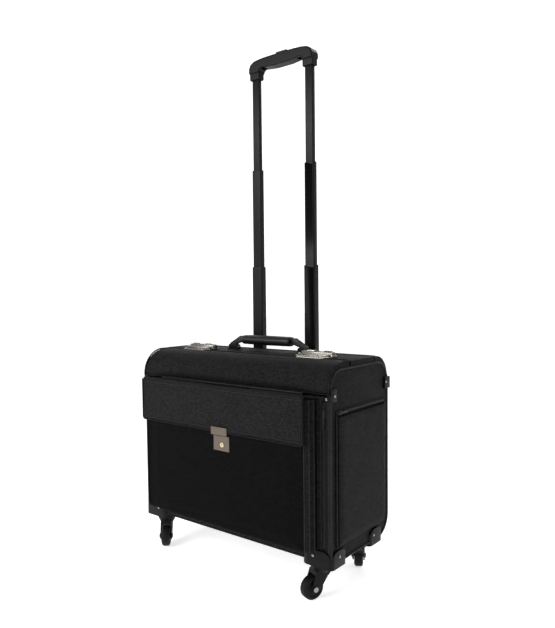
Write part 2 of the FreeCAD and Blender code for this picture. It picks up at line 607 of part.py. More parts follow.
node("key_lock_hasp", rounded(
    box((f"{LOCK} - lock_half", f"{LOCK} + lock_half"), ("-flap_front - 2.2", "-flap_front"),
        ("274", "289")), {"Z -Y +X": 1.5, "Z -Y -X": 1.5}))
lock_body = rounded(
    box((f"{LOCK} - lock_half", f"{LOCK} + lock_half"), ("-pocket_front - 3", "-pocket_front"),
        ("243", "271.5")), {"Z -Y +X": 1.5, "Z -Y -X": 1.5})
node("key_lock_body", cut(lock_body, bar("Y", (f"{LOCK} + 2", "-pocket_front - 3", "254.5"), "4.55", "10")))
key_slot = box((f"{LOCK} + 1.5", f"{LOCK} + 2.5"), ("-pocket_front - 5", "-pocket_front - 2"),
               ("252", "257"))
node("key_cylinder", cut(
    bar("Y", (f"{LOCK} + 2", "-pocket_front - 3.6", "254.5"), "4.5", "3.2"), key_slot))
slider = rounded(
    box(("218.5", "225.5"), (f"-{DEEP} - 3.2", f"-{DEEP} - 0.3"), ("326", "338")),
    {"Z -Y +X": 1.2, "Z -Y -X": 1.2})
pull = rounded(
    box(("219.8", "224.2"), (f"-{DEEP} - 4.6", f"-{DEEP} - 3.2"), ("306", "333")),
    {"Y -X -Z": 2, "Y +X -Z": 2})
zip_slider = fuse(slider, pull)
node("zip_slider_right", zip_slider)
node("zip_slider_left", mirrored(zip_slider))

# ---- side pockets and the zips along their tops --------------------------------------------------------
pocket_outer = rounded(
    box((HALF, f"{HALF} + side_pocket_depth"), ("-side_pocket_front", "side_pocket_back"),
        ("side_pocket_low", "side_pocket_high")),
    {"Z +X -Y": 4, "Z +X +Y": 4, "Y +X -Z": 4})
pocket_room = box(
    (f"{HALF} - 1", f"{HALF} + side_pocket_depth - side_pocket_wall"),
    ("-side_pocket_front + side_pocket_wall", "side_pocket_back - side_pocket_wall"),
    ("side_pocket_low + side_pocket_wall", "side_pocket_high + 5"))
side_pocket = cut(pocket_outer, pocket_room)
node("side_pocket_right", side_pocket)
node("side_pocket_left", mirrored(side_pocket))
side_zip_slider = fuse(
    rounded(box((f"{HALF} + 0.4", f"{HALF} + 3.6"), ("-side_pocket_front + 4", "-side_pocket_front + 15"),
                ("side_pocket_high + 1", "side_pocket_high + 8")),
            {"X -Y +Z": 1.5, "X -Y -Z": 1.5, "X +Y +Z": 1.5, "X +Y -Z": 1.5}),
    rounded(box((f"{HALF} + 3.6", f"{HALF} + 5"), ("-side_pocket_front + 6", "-side_pocket_front + 30"),
                ("side_pocket_high + 2.5", "side_pocket_high + 6.5")),
            {"X +Y +Z": 1.5, "X +Y -Z": 1.5}))
node("side_zip_slider_right", side_zip_slider)
node("side_zip_slider_left", mirrored(side_zip_slider))

# ---- check and write -----------------------------------------------------------------------------------
doc.recompute()
failed = [thing.Name for thing in doc.Objects
          if {"Invalid", "Error"} & set(thing.State)]
if failed:
    raise RuntimeError("failed objects: " + ", ".join(failed))
for part in nodes:
    if part.Shape.isNull() or not part.Shape.isValid() or not part.Shape.Solids:
        raise RuntimeError("bad shape: " + part.Label)
os.makedirs("parts", exist_ok=True)
for part in nodes:
    part.Shape.exportStep(os.path.join("parts", part.Label + ".step"))
whole = Part.makeCompound([part.Shape for part in nodes]).BoundBox
print(len(nodes), "sub-parts, box", [round(value, 2) for value in (
    whole.XMin, whole.XMax, whole.YMin, whole.YMax, whole.ZMin, whole.ZMax)])
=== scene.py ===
import json
from math import cos, pi, radians, sin

import bpy
import numpy as np
from mathutils import Euler, Matrix, Vector


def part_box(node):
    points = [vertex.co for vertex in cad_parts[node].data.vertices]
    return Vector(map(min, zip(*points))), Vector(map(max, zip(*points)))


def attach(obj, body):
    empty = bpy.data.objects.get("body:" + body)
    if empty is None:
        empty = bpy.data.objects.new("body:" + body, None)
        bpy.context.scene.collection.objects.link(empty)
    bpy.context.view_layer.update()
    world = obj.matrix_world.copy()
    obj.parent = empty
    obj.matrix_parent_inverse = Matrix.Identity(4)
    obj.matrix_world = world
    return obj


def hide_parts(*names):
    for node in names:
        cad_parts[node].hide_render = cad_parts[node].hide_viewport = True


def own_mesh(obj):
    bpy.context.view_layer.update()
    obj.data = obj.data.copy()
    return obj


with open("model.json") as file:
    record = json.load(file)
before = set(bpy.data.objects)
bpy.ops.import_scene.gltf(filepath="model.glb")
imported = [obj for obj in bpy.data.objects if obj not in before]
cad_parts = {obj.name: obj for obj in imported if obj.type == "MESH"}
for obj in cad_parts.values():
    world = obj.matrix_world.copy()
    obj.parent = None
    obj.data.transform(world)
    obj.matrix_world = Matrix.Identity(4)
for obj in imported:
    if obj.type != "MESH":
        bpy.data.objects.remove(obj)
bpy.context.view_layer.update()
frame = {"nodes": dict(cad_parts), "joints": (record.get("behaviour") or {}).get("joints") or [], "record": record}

# ---- View and studio -----------------------------------------------------------------------
# The case stands on pale studio paper, on the floor and on a wall behind it. A wide soft box
# stands before its front left, weaker ones light its right side and its top, and the room is
# white below and dim above.
studio = bpy.context.scene
studio.view_settings.view_transform = "Standard"
bpy.ops.object.camera_add(location=(0.8106, -0.97335, 0.54605))
camera = bpy.context.object
heading, roll_over = radians(38.75), radians(-0.65)
tilt = Euler((radians(87.03), 0, heading)).to_matrix() @ Matrix.Rotation(roll_over, 3, "Z")
camera.matrix_world = Matrix.Translation(camera.location) @ tilt.to_4x4()
camera.data.lens = 36.02
camera.data.sensor_width = 36
camera.data.shift_x = 0.01895
camera.data.shift_y = 0.01226
studio.camera = camera

room = bpy.data.worlds.new("white_room")
room.use_nodes = True
room_nodes = room.node_tree.nodes
room_way = room_nodes.new("ShaderNodeSeparateXYZ")
room_dark = room_nodes.new("ShaderNodeValToRGB")
room_dark.color_ramp.elements[0].position = 0.15
room_dark.color_ramp.elements[0].color = (1, 1, 1, 1)
room_dark.color_ramp.elements[1].position = 0.75
room_dark.color_ramp.elements[1].color = (0.12, 0.12, 0.12, 1)
room_links = room.node_tree.links
room_links.new(room_nodes.new("ShaderNodeTexCoord").outputs["Generated"], room_way.inputs[0])
room_links.new(room_way.outputs["Z"], room_dark.inputs["Fac"])
room_links.new(room_dark.outputs["Color"], room_nodes["Background"].inputs["Color"])
room_nodes["Background"].inputs["Strength"].default_value = 0.62
studio.world = room


def soft_box(place, aim, width, height, power):
    """A rectangular area light at a place, turned to its aim."""
    bpy.ops.object.light_add(type="AREA", location=place)
    light = bpy.context.object
    light.rotation_euler = (Vector(aim) - Vector(place)).to_track_quat("-Z", "Y").to_euler()
    light.data.shape = "RECTANGLE"
    light.data.size, light.data.size_y, light.data.energy = width, height, power


soft_box((-0.7, -1.9, 1.3), (0, 0, 0.35), 1.6, 1.0, 44)
soft_box((2.0, 0.3, 1.3), (0.1, 0, 0.3), 1.0, 1.2, 10)
soft_box((0.2, 0.9, 1.9), (0, 0, 0.45), 1.4, 0.5, 9)

bpy.ops.object.select_all(action="DESELECT")
bpy.ops.mesh.primitive_plane_add(size=60, location=(0, 0, 0))
floor = bpy.context.object
floor.name = "studio_floor"
paper = bpy.data.materials.new("studio_paper")
paper.use_nodes = True
paper_shader = paper.node_tree.nodes["Principled BSDF"]
paper_shader.inputs["Base Color"].default_value = (0.93, 0.93, 0.93, 1)
paper_shader.inputs["Roughness"].default_value = 1
paper_shader.inputs["Specular IOR Level"].default_value = 0
paper_shader.inputs["Emission Color"].default_value = (1, 1, 1, 1)
paper_shader.inputs["Emission Strength"].default_value = 0.64
bpy.ops.mesh.primitive_plane_add(size=40, location=(-9, 11.2, 0), rotation=(radians(90), 0, heading))
wall = bpy.context.object
wall.name = "studio_wall"
for backdrop in (floor, wall):
    backdrop.data.materials.append(paper)

# ---- Side, front, bottom and back panels ---------------------------------------------------
# Boards under black ballistic nylon outside and grey lining cloth inside. The boards are cut
# with rounded corners, and the cloth is glued over them and sewn at the edges.
record = frame["record"]
body_of_node = {node: body for body, nodes in record["behaviour"]["bodies"].items() for node in nodes}
slot_of_node = {part["node"]: part["material_slot"] for part in record["subparts"]}
panel_low, panel_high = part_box("side_panel_right")
case_middle = (panel_low.y + panel_high.y) / 2


class Dye:
    """A value or colour on its way through a material, so that sums on it read as sums."""

    def __init__(self, tree, socket):
        self.tree, self.socket = tree, socket

    def node(self, kind, feeds, give=0, **settings):
        made = self.tree.nodes.new("ShaderNode" + kind)
        for setting, value in settings.items():
            setattr(made, setting, value)
        for name, value in feeds.items():
            if isinstance(value, Dye):
                self.tree.links.new(value.socket, made.inputs[name])
            else:
                made.inputs[name].default_value = value
        return Dye(self.tree, made.outputs[give])

    def axis(self, number):
        """One of the three parts of a place or a direction."""
        return self.node("SeparateXYZ", {0: self}, give=number)

    def maths(self, operation, other=0.0):
        return self.node("Math", {0: self, 1: other}, operation=operation)

    def __add__(self, other):
        return self.maths("ADD", other)

    __radd__ = __add__

    def __sub__(self, other):
        return self.maths("SUBTRACT", other)

    def __rsub__(self, other):
        return self * -1 + other

    def __mul__(self, other):
        return self.maths("MULTIPLY", other)

    __rmul__ = __mul__

    def __gt__(self, other):
        return self.maths("GREATER_THAN", other)

    def __abs__(self):
        return self.maths("ABSOLUTE")

    def wave(self, pitch):
        """A sine along this length, half a turn to each pitch."""
        return (self * (pi / pitch)).maths("SINE")

    def tint(self, low, high):
        """low where this is 0, high where it is 1."""
        return self.node("Mix", {0: self, 6: (*low, 1), 7: (*high, 1)}, give=2, data_type="RGBA")

    def feed(self, shader, name):
        self.tree.links.new(self.socket, shader.inputs[name])

    def clouds(self, size, detail=2.0, rough=0.5):
        """Soft blotches of about this size in metres, on this place."""
        return self.node("TexNoise", {"Vector": self, "Scale": 1 / size, "Detail": detail,
                                      "Roughness": rough})

    def relief(self, depth, strength=1.0, under=None):
        """A bump as high as depth in metres, over another one where it is given."""
        feeds = {"Strength": strength, "Distance": depth, "Height": self}
        if under:
            feeds["Normal"] = under
        return self.node("Bump", feeds)


def new_finish(name, metallic=0.0, gloss=0.5, coat=0.0, sheen=0.0, sheen_rough=0.5):
    """A new material, its shader with its constants set, and the place on the piece."""
    material = bpy.data.materials.new(name)
    material.use_nodes = True
    tree = material.node_tree
    shader = tree.nodes["Principled BSDF"]
    shader.inputs["Metallic"].default_value = metallic
    shader.inputs["Specular IOR Level"].default_value = gloss
    shader.inputs["Coat Weight"].default_value = coat
    shader.inputs["Sheen Weight"].default_value = sheen
    shader.inputs["Sheen Roughness"].default_value = sheen_rough
    place = tree.nodes.new("ShaderNodeTexCoord")
    return material, shader, Dye(tree, place.outputs["Object"])


def woven(name, dark, light, pitch, rough, gloss, sheen, fold=0.0012):
    """Plain-woven cloth that lies flat on whichever way a face looks."""
    material, shader, place = new_finish(name, gloss=gloss, sheen=sheen)
    x, y, z = (place.axis(number) for number in range(3))
    facing = place.node("TexCoord", {}, give="Normal")
    sideways = abs(facing.axis(0)) > 0.6
    upwards = abs(facing.axis(2)) > 0.7
    wander = (place.clouds(0.02) - 0.5) * 0.0006
    across = x + sideways * (y - x) + wander
    along = z + upwards * (y - z) + wander
    yarn = across.wave(pitch) * along.wave(pitch)
    twist = (across + along).wave(pitch * 0.23) * 0.15
    fuzz = place.clouds(0.0011, 3, 0.7)
    per_metre_across, per_metre_along = 210, 480
    slub = place.node("CombineXYZ", {0: across * per_metre_across, 1: along * per_metre_along,
                                     2: place.clouds(0.3)})
    slub = slub.node("TexNoise", {"Vector": slub, "Scale": 1.0, "Detail": 3.0, "Roughness": 0.7})
    cloud = place.clouds(0.045, 4)
    weave = yarn * 0.5 + 0.5 + twist
    shade = weave * 0.25 + fuzz * 0.3 + (slub - 0.5) * 5.0 + cloud * 0.7 - 0.05
    shade.tint(dark, light).feed(shader, "Base Color")
    (fuzz * 0.12 + cloud * 0.1 + rough).feed(shader, "Roughness")
    soft = place.clouds(0.07, 2).relief(fold * 4, 0.5)
    (weave * 0.7 + fuzz * 0.5).relief(0.00022, 0.8, soft).feed(shader, "Normal")
    return material


nylon = woven("ballistic_nylon", (0.0008, 0.0008, 0.0010), (0.0096, 0.0094, 0.0106),
              0.0009, 0.6, 0.11, 0.0)
lining = woven("grey_lining", (0.05, 0.05, 0.055), (0.10, 0.10, 0.108),
               0.0005, 0.75, 0.2, 0.1, fold=0.0004)


def only(piece):
    """Selects one piece and nothing else."""
    bpy.ops.object.select_all(action="DESELECT")
    piece.select_set(True)
    bpy.context.view_layer.objects.active = piece


def spot(x, y, z):
    """A place in metres from millimetres about the middle of the case's depth."""
    return Vector((x / 1000, y / 1000 + case_middle, z / 1000))


def worked(piece, kind, **settings):
    """Puts a modifier on a piece and applies it."""
    only(piece)
    tool = piece.modifiers.new(kind.title(), kind)
    for setting, value in settings.items():
        setattr(tool, setting, value)
    bpy.ops.object.modifier_apply(modifier=tool.name)
    return piece


def copy_of(node, name):
    """A whole-skinned copy of a CAD node's mesh."""
    piece = bpy.data.objects.new(name, frame["nodes"][node].data.copy())
    studio.collection.objects.link(piece)
    piece.data.materials.clear()
    only(piece)
    if piece.data.has_custom_normals:
        bpy.ops.mesh.customdata_custom_splitnormals_clear()
    bpy.ops.object.mode_set(mode="EDIT")
    bpy.ops.mesh.select_all(action="SELECT")
    bpy.ops.mesh.remove_doubles(threshold=1e-5)
    bpy.ops.mesh.dissolve_limited(angle_limit=radians(0.5))
    bpy.ops.object.mode_set(mode="OBJECT")
    return piece


def dressed(piece, material, body, slot, *nodes, angle=40):
    """Smooths a finished piece, gives it its material and body, and hides the CAD parts it replaces."""
    piece.data.materials.clear()
    piece.data.materials.append(material)
    only(piece)
    bpy.ops.object.transform_apply(location=True, rotation=True, scale=True)
    bpy.ops.object.shade_smooth_by_angle(angle=radians(angle))
    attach(piece, body)
    if nodes:
        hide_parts(*nodes)
    return piece


def softened(node, name, material, edge, steps=2, sharp=34):
    """A CAD part with its edges rounded by edge metres, in the part's place."""
    piece = copy_of(node, name)
    worked(piece, "BEVEL", width=edge, segments=steps, limit_method="ANGLE",
           angle_limit=radians(sharp), use_clamp_overlap=True)
    return dressed(piece, material, body_of_node[node], slot_of_node[node], node)


def lined(piece, inward):
    """Turns the faces that look inward to lining cloth."""
    piece.data.materials.append(lining)
    for face in piece.data.polygons:
        if face.normal.dot(Vector(inward)) > 0.8:
            face.material_index = 1


lined(softened("side_panel_right", "side_board_right", nylon, 0.0009), (-1, 0, 0))
lined(softened("side_panel_left", "side_board_left", nylon, 0.0009), (1, 0, 0))
lined(softened("front_panel", "front_board", nylon, 0.0009), (0, 1, 0))
lined(softened("bottom_panel", "bottom_board", nylon, 0.0009), (0, 0, 1))
lined(softened("back_panel", "back_board", nylon, 0.0012), (0, -1, 0))
softened("divider_panel", "divider_board", lining, 0.0012)

# ---- Piping round the boards ---------------------------------------------------------------
# A plastic cord under a folded strip of smooth nylon, sewn into each seam where two boards of
# the case meet, so it stands a little proud and catches the light.
piping_cloth = woven("piping_nylon", (0.002, 0.002, 0.0024), (0.013, 0.013, 0.0145),
                     0.0006, 0.48, 0.2, 0.0, fold=0.0004)
both_sides = (("right", 1), ("left", -1))
board_edge, above_cups, between_cups = 234.5, 71, 60


def piped(node, name, body, thick, keep, material=piping_cloth):
    """A round cord along the sharp edges of a CAD part that keep() picks by their middles."""
    source = copy_of(node, name + "_source")
    bpy.ops.object.mode_set(mode="EDIT")
    bpy.ops.mesh.select_all(action="DESELECT")
    bpy.ops.mesh.select_mode(type="EDGE")
    bpy.ops.mesh.edges_select_sharp(sharpness=radians(50))
    bpy.ops.object.mode_set(mode="OBJECT")
    points = source.data.vertices
    for edge in source.data.edges:
        middle = (points[edge.vertices[0]].co + points[edge.vertices[1]].co) / 2
        middle = Vector((middle.x * 1000, (middle.y - case_middle) * 1000, middle.z * 1000))
        edge.select = edge.select and keep(middle)
    bpy.ops.object.mode_set(mode="EDIT")
    bpy.ops.mesh.duplicate()
    bpy.ops.mesh.separate(type="SELECTED")
    bpy.ops.object.mode_set(mode="OBJECT")
    cord = [piece for piece in bpy.context.selected_objects if piece != source][0]
    bpy.data.objects.remove(source)
    only(cord)
    bpy.ops.object.mode_set(mode="EDIT")
    bpy.ops.mesh.select_all(action="SELECT")
    bpy.ops.mesh.delete(type="ONLY_FACE")
    bpy.ops.object.mode_set(mode="OBJECT")
    bpy.ops.object.convert(target="CURVE")
    cord.data.bevel_depth = thick / 2
    cord.data.bevel_resolution = 3
    cord.data.use_fill_caps = True
    bpy.ops.object.convert(target="MESH")
    cord.name = name
    return dressed(cord, material, body, "nylon", angle=60)


for side, hand in both_sides:
    piped("side_panel_" + side, "piping_side_" + side, "case", 0.0042,
          lambda p: hand * p.x > board_edge and (p.z > above_cups or abs(p.y) < between_cups))

# ---- Rivets, corner clips and hinges -------------------------------------------------------
# Domed steel rivets fix black moulded clips over the seams at the lids' hinges, and the lids
# turn on pressed steel leaves with a wire pin.
def metal(name, colour, rough, scratch, length=0.02, wide=0.0003, bare=1.0, gloss=0.5):
    """Plated or blackened metal with fine brushed lines and soft smears."""
    material, shader, place = new_finish(name, metallic=bare, gloss=gloss)
    x, y, z = (place.axis(number) for number in range(3))
    drawn = place.node("CombineXYZ", {0: x * (1 / length), 1: y * (1 / wide), 2: z * (1 / wide)})
    lines = drawn.node("TexNoise", {"Vector": drawn, "Scale": 1.0, "Detail": 2.0})
    smear = place.clouds(0.006, 3)
    pale = tuple(min(1, part * 1.12) for part in colour)
    dull = tuple(part * 0.8 for part in colour)
    (lines * 0.5 + smear * 0.5).tint(dull, pale).feed(shader, "Base Color")
    (smear * 0.18 + lines * 0.1 + rough).feed(shader, "Roughness")
    lines.relief(0.00005, scratch).feed(shader, "Normal")
    return material


def moulded(name, dark, light, rough, grain, gloss=0.5, coat=0.0):
    """Moulded plastic or rubber with a fine spark-eroded grain."""
    material, shader, place = new_finish(name, gloss=gloss, coat=coat)
    fine = place.clouds(0.0006, 2, 0.6)
    broad = place.clouds(0.012, 3)
    (fine * 0.4 + broad * 0.7 - 0.05).tint(dark, light).feed(shader, "Base Color")
    (broad * 0.16 + fine * 0.1 + rough).feed(shader, "Roughness")
    fine.relief(0.00006, grain).feed(shader, "Normal")
    return material


nickel = metal("nickel_plate", (0.27, 0.258, 0.235), 0.12, 0.35)
steel = metal("plated_steel", (0.58, 0.58, 0.59), 0.26, 0.4)
plastic = moulded("satin_black_plastic", (0.0008, 0.0008, 0.001), (0.0035, 0.0035, 0.004),
                  0.3, 0.5, gloss=0.13)

softened("case_rivets", "rivet_heads", nickel, 0.0003)
softened("corner_clips", "hinge_clips", plastic, 0.0009, 3)
black_steel = metal("blackened_steel", (0.012, 0.012, 0.013), 0.34, 0.3, bare=0.6)
for node in ("hinge_case_leaves", "front_lid_hinge_leaf", "rear_lid_hinge_leaf"):
    softened(node, node + "_pressed", black_steel, 0.00015, 1)
softened("hinge_pins", "hinge_pins_drawn", black_steel, 0.0001, 1)
softened("lid_pins", "lid_pins_turned", steel, 0.0001, 1)

# ---- Front lid and rear lid ----------------------------------------------------------------
# Two covers of nylon over board. The front one wraps over the front edge, and the foam under
# it swells between the piping on its ends. The rear one is flat and carries the latches.
settling_frames = 12
lid_end, lid_foot, lid_crown, lid_meeting = 233, 367, 368, -36


def swollen(node, name, voxel, push, most, keep, outward, smooth=4):
    """Foam under cloth: the part's shape, blown up a little where keep() lets it."""
    piece = copy_of(node, name)
    worked(piece, "REMESH", mode="VOXEL", voxel_size=voxel)
    worked(piece, "SMOOTH", factor=0.5, iterations=smooth)
    rest = np.empty(len(piece.data.vertices) * 3)
    piece.data.vertices.foreach_get("co", rest)
    rest = rest.reshape(-1, 3)
    local = rest * 1000 - np.array([0, case_middle * 1000, 0])
    free = np.array([keep(*point) for point in local])
    held = piece.vertex_groups.new(name="held")
    held.add([int(i) for i in np.flatnonzero(free <= 0)], 1.0, "REPLACE")
    only(piece)
    cloth = piece.modifiers.new("Cloth", "CLOTH")
    cloth.settings.quality = 4
    cloth.settings.mass = 0.25
    cloth.settings.tension_stiffness = cloth.settings.compression_stiffness = 12
    cloth.settings.bending_stiffness = 0.6
    cloth.settings.use_pressure = True
    cloth.settings.uniform_pressure_force = push
    cloth.settings.vertex_group_mass = "held"
    cloth.settings.effector_weights.gravity = 0
    cloth.collision_settings.use_collision = False
    for moment in range(1, settling_frames + 1):
        studio.frame_set(moment)
    bpy.ops.object.modifier_apply(modifier=cloth.name)
    studio.frame_set(1)
    piece.vertex_groups.clear()
    blown = np.empty(rest.size)
    piece.data.vertices.foreach_get("co", blown)
    moved = blown.reshape(-1, 3) - rest
    ways = np.array([outward(*point) for point in local], float)
    ways /= np.linalg.norm(ways, axis=1)[:, None]
    unblown = 0
    far = np.clip((moved * ways).sum(axis=1) + unblown, 0, most)
    shaped = rest + ways * (far * np.clip(free, 0, 1))[:, None]
    piece.data.vertices.foreach_set("co", shaped.ravel())
    piece.data.update()
    worked(piece, "SMOOTH", factor=0.5, iterations=2)
    worked(piece, "SUBSURF", levels=1, render_levels=1)
    return piece


def lid_free(x, y, z):
    """0 at the lid's ends and edges, rising to 1 within 16 mm of them, on its outside only."""
    if y > -93 and z < 405:
        return 0
    return min((lid_end - abs(x)) / 16, (z - lid_foot) / 6, (lid_meeting - y) / 12, 1)


def lid_outward(x, y, z):
    """Forwards on the lid's front, turning upwards over its rounded edge."""
    return (0, min(y + 55, 0), max(z - lid_crown, 1)) if z > lid_crown else (0, -1, 0)


front_lid = swollen("front_lid", "front_lid_cover", 0.0036, 4.0, 0.0032, lid_free, lid_outward)
dressed(front_lid, nylon, "front_lid", "nylon", "front_lid", angle=50)
for side, hand in both_sides:
    piped("front_lid", "piping_lid_front_" + side, "front_lid", 0.003,
          lambda p: hand * p.x > 234 and p.z > 367.5 and p.y < -34.5)
lined(softened("rear_lid", "rear_lid_cover", nylon, 0.0014), (0, 0, -1))
piped("rear_lid", "piping_lid_rear", "rear_lid", 0.003, lambda p: p.z > 417 and p.y < -31)

# ---- Front pocket --------------------------------------------------------------------------
# A flat bag of foam-backed nylon nearly as wide as the case's front, sewn round its foot and
# sides. Its sides are folded bellows with a narrow seam along each fold, so it opens forward.
pocket_end, pocket_foot, pocket_mouth, pocket_face = 199, 93, 330, -126


def pocket_free(x, y, z):
    """1 on the front face of the pocket, 0 elsewhere and at its seams."""
    if y > pocket_face:
        return 0
    return min((pocket_end - abs(x)) / 14, (z - pocket_foot) / 12, (pocket_mouth - z) / 10, 1)


def forward(x, y, z):
    """The way the case's front looks."""
    return 0, -1, 0


# The pocket's nylon is a darker copy of the case's nylon. Its darker colour is painted shade for the lower front,
# and its lower gloss stands for a duller cloth.
pocket_nylon_with_painted_shade = woven("pocket_nylon_with_painted_shade", (0.0005, 0.0005, 0.0006), (0.0032, 0.0031, 0.0035),
                     0.0009, 0.66, 0.05, 0.0)
pocket = swollen("front_pocket", "front_pocket_bag", 0.0034, 4.0, 0.0024, pocket_free, forward, 1)
dressed(pocket, pocket_nylon_with_painted_shade, "case", "nylon", "front_pocket", angle=50)


def line_through(name, places, closed=False):
    """A curve that runs straight from place to place, selected on its own."""
    path = bpy.data.curves.new(name, "CURVE")
    path.dimensions = "3D"
    line = path.splines.new("POLY")
    line.points.add(len(places) - 1)
    for knot, place in zip(line.points, places):
        knot.co = (*place, 1)
    line.use_cyclic_u = closed
    piece = bpy.data.objects.new(name, path)
    studio.collection.objects.link(piece)
    only(piece)
    return piece


def strip(name, route, low, high, thick, material):
    """A strip of cloth on the case that stands from low to high along a route in plan."""
    ribbon = line_through(name, [spot(x, y, low) for x, y in route])
    bpy.ops.object.convert(target="MESH")
    bpy.ops.object.mode_set(mode="EDIT")
    bpy.ops.mesh.select_all(action="SELECT")
    bpy.ops.mesh.extrude_region_move(TRANSFORM_OT_translate={"value": (0, 0, (high - low) / 1000)})
    bpy.ops.mesh.select_all(action="SELECT")
    bpy.ops.mesh.normals_make_consistent(inside=False)
    bpy.ops.object.mode_set(mode="OBJECT")
    worked(ribbon, "SOLIDIFY", thickness=thick / 1000, offset=0)
    worked(ribbon, "BEVEL", width=thick / 3000, segments=2, limit_method="ANGLE",
           angle_limit=radians(40))
    return dressed(ribbon, material, "case", "nylon", angle=60)


bellows = ((201, -129.3), (206.5, -124.5), (203.6, -119.5),
           (209.8, -114.4), (206.6, -109.5), (214.6, -101.5))
seams = ((200.2, -130.2), (207, -124.3), (210.2, -114.2), (215.2, -101.2))
for side, hand in both_sides:
    strip("pocket_bellows_" + side, [(hand * x, y) for x, y in bellows], 95, 357, 1.5, nylon)
    for number, (x, y) in enumerate(seams):
        strip(f"pocket_seam_{side}_{number}",
              [(hand * (x - 0.9), y - 0.5), (hand * (x + 0.9), y + 0.4)],
              94, 358, 1.6, piping_cloth)

# ---- Zips beside the front pocket ----------------------------------------------------------
# A coil zip on each side opens the case's front for the bellows. Its tape is woven, its teeth
# are one row of small moulded turns, and a blackened slider with a pull tab runs on them.
tape_cloth = woven("zip_tape", (0.003, 0.003, 0.0035), (0.009, 0.009, 0.010),
                   0.0007, 0.7, 0.15, 0.0, fold=0.0003)
teeth_plastic = moulded("zip_teeth", (0.006, 0.006, 0.0065), (0.016, 0.016, 0.0175),
                        0.34, 0.2, gloss=0.4)
tooth_pitch = 0.0018


def block(name, middle, size, edge, steps=1):
    """A block of this size about its middle, with its edges rounded."""
    bpy.ops.object.select_all(action="DESELECT")
    bpy.ops.mesh.primitive_cube_add(size=1, location=middle)
    piece = bpy.context.object
    piece.name = name
    piece.scale = size
    bpy.ops.object.transform_apply(location=True, rotation=True, scale=True)
    return worked(piece, "BEVEL", width=edge, segments=steps)


def row_of(piece, step, count):
    """The piece repeated count times, each copy a step on from the last."""
    return worked(piece, "ARRAY", count=count, use_relative_offset=False,
                  use_constant_offset=True, constant_offset_displace=step)


def row_of_teeth(name, start, step, count, size):
    """Small rounded teeth in a row on the case, from the first one's middle by steps."""
    tooth = block(name, start, size, min(size) * 0.3)
    return dressed(row_of(tooth, step, count), teeth_plastic, "case", "nylon", angle=30)


for side, hand in both_sides:
    strip("zip_tape_" + side, [(hand * 215.5, -100.5), (hand * 229, -100.5)], 97, 352, 0.9, tape_cloth)
    row_of_teeth("zip_teeth_" + side, spot(hand * 222, -101.5, 100), (0, 0, tooth_pitch), 138,
                 (0.0046, 0.0016, 0.0011))
    strip("zip_hem_" + side, [(hand * 230.3, -101.2), (hand * 233.2, -101.2)], 84, 352, 1.6,
          piping_cloth)
    softened("zip_slider_" + side, "zip_slider_" + side + "_cast", black_steel, 0.0004)

# ---- Flap of the front pocket --------------------------------------------------------------
# A stiffened flap of the same nylon over foam, sewn along its top edge and bound all round its
# other edges. It bows a little between its seams and hangs over the pocket's mouth.
flap_end, flap_foot, flap_root, flap_face = 202, 281, 362, -136
stitch_length, stitch_pitch, thread_thickness = 0.0025, 0.0035, 0.0007


def flap_free(x, y, z):
    """1 on the flap's front, 0 at its seams and on its other faces."""
    if y > flap_face:
        return 0
    return min((flap_end - abs(x)) / 12, (z - flap_foot) / 9, (flap_root - z) / 9, 1)


flap = swollen("front_flap", "front_flap_cover", 0.0018, 3.0, 0.0019, flap_free, forward, 1)
dressed(flap, nylon, "front_flap", "nylon", "front_flap", angle=50)
piped("front_flap", "flap_binding", "front_flap", 0.0028,
      lambda p: p.y < -137.5 and p.z < 364, nylon)


def stitches(name, start, count, along):
    """A straight row of thread stitches on the flap, short rounded bars lying along one axis."""
    size = [thread_thickness] * 3
    size[along] = stitch_length
    step = [0, 0, 0]
    step[along] = stitch_pitch
    stitch = block(name, start, size, 0.0002)
    return dressed(row_of(stitch, step, count), thread, "front_flap", "nylon", angle=60)


thread = moulded("black_thread", (0.008, 0.008, 0.009), (0.022, 0.022, 0.024), 0.5, 0.3, gloss=0.3)
stitches("flap_stitches_low", spot(-196, -138.3, 285.5), 113, along=0)
stitches("flap_stitches_high", spot(-198, -138.4, 358.5), 114, along=0)
for side, hand in both_sides:
    stitches("flap_stitches_" + side, spot(hand * 197.5, -138.3, 290), 19, along=2)

# ---- Key lock ------------------------------------------------------------------------------
# Two stamped plates of satin nickel: the hasp is riveted to the flap, the body to the pocket,
# and a small brass cylinder with a key slot turns in the body.
lock_nickel = metal("satin_lock_nickel", (0.135, 0.112, 0.09), 0.3, 0.5, length=0.012, wide=0.0005)
softened("key_lock_body", "key_lock_plate", lock_nickel, 0.0012, 3)
softened("key_lock_hasp", "key_lock_hook_plate", lock_nickel, 0.0009, 3)
brass = metal("key_brass", (0.62, 0.52, 0.36), 0.16, 0.3)
softened("key_cylinder", "key_barrel", brass, 0.0003)

# ---- Side pockets --------------------------------------------------------------------------
# A flat pocket of nylon on each side, with piping down its front and back seams and a coil
# zip across its mouth, on a tape of its own. A slider with a pull tab runs on the zip.
bag_seam, bag_foot, bag_mouth, bag_face = 83, 99, 326, 240
side_zip_height = 331.5


def side_free(x, y, z):
    """1 on the outside of a side pocket, 0 at its seams and on its other faces."""
    if abs(x) < bag_face:
        return 0
    return min((bag_seam - abs(y)) / 10, (z - bag_foot) / 10, (bag_mouth - z) / 5, 1)


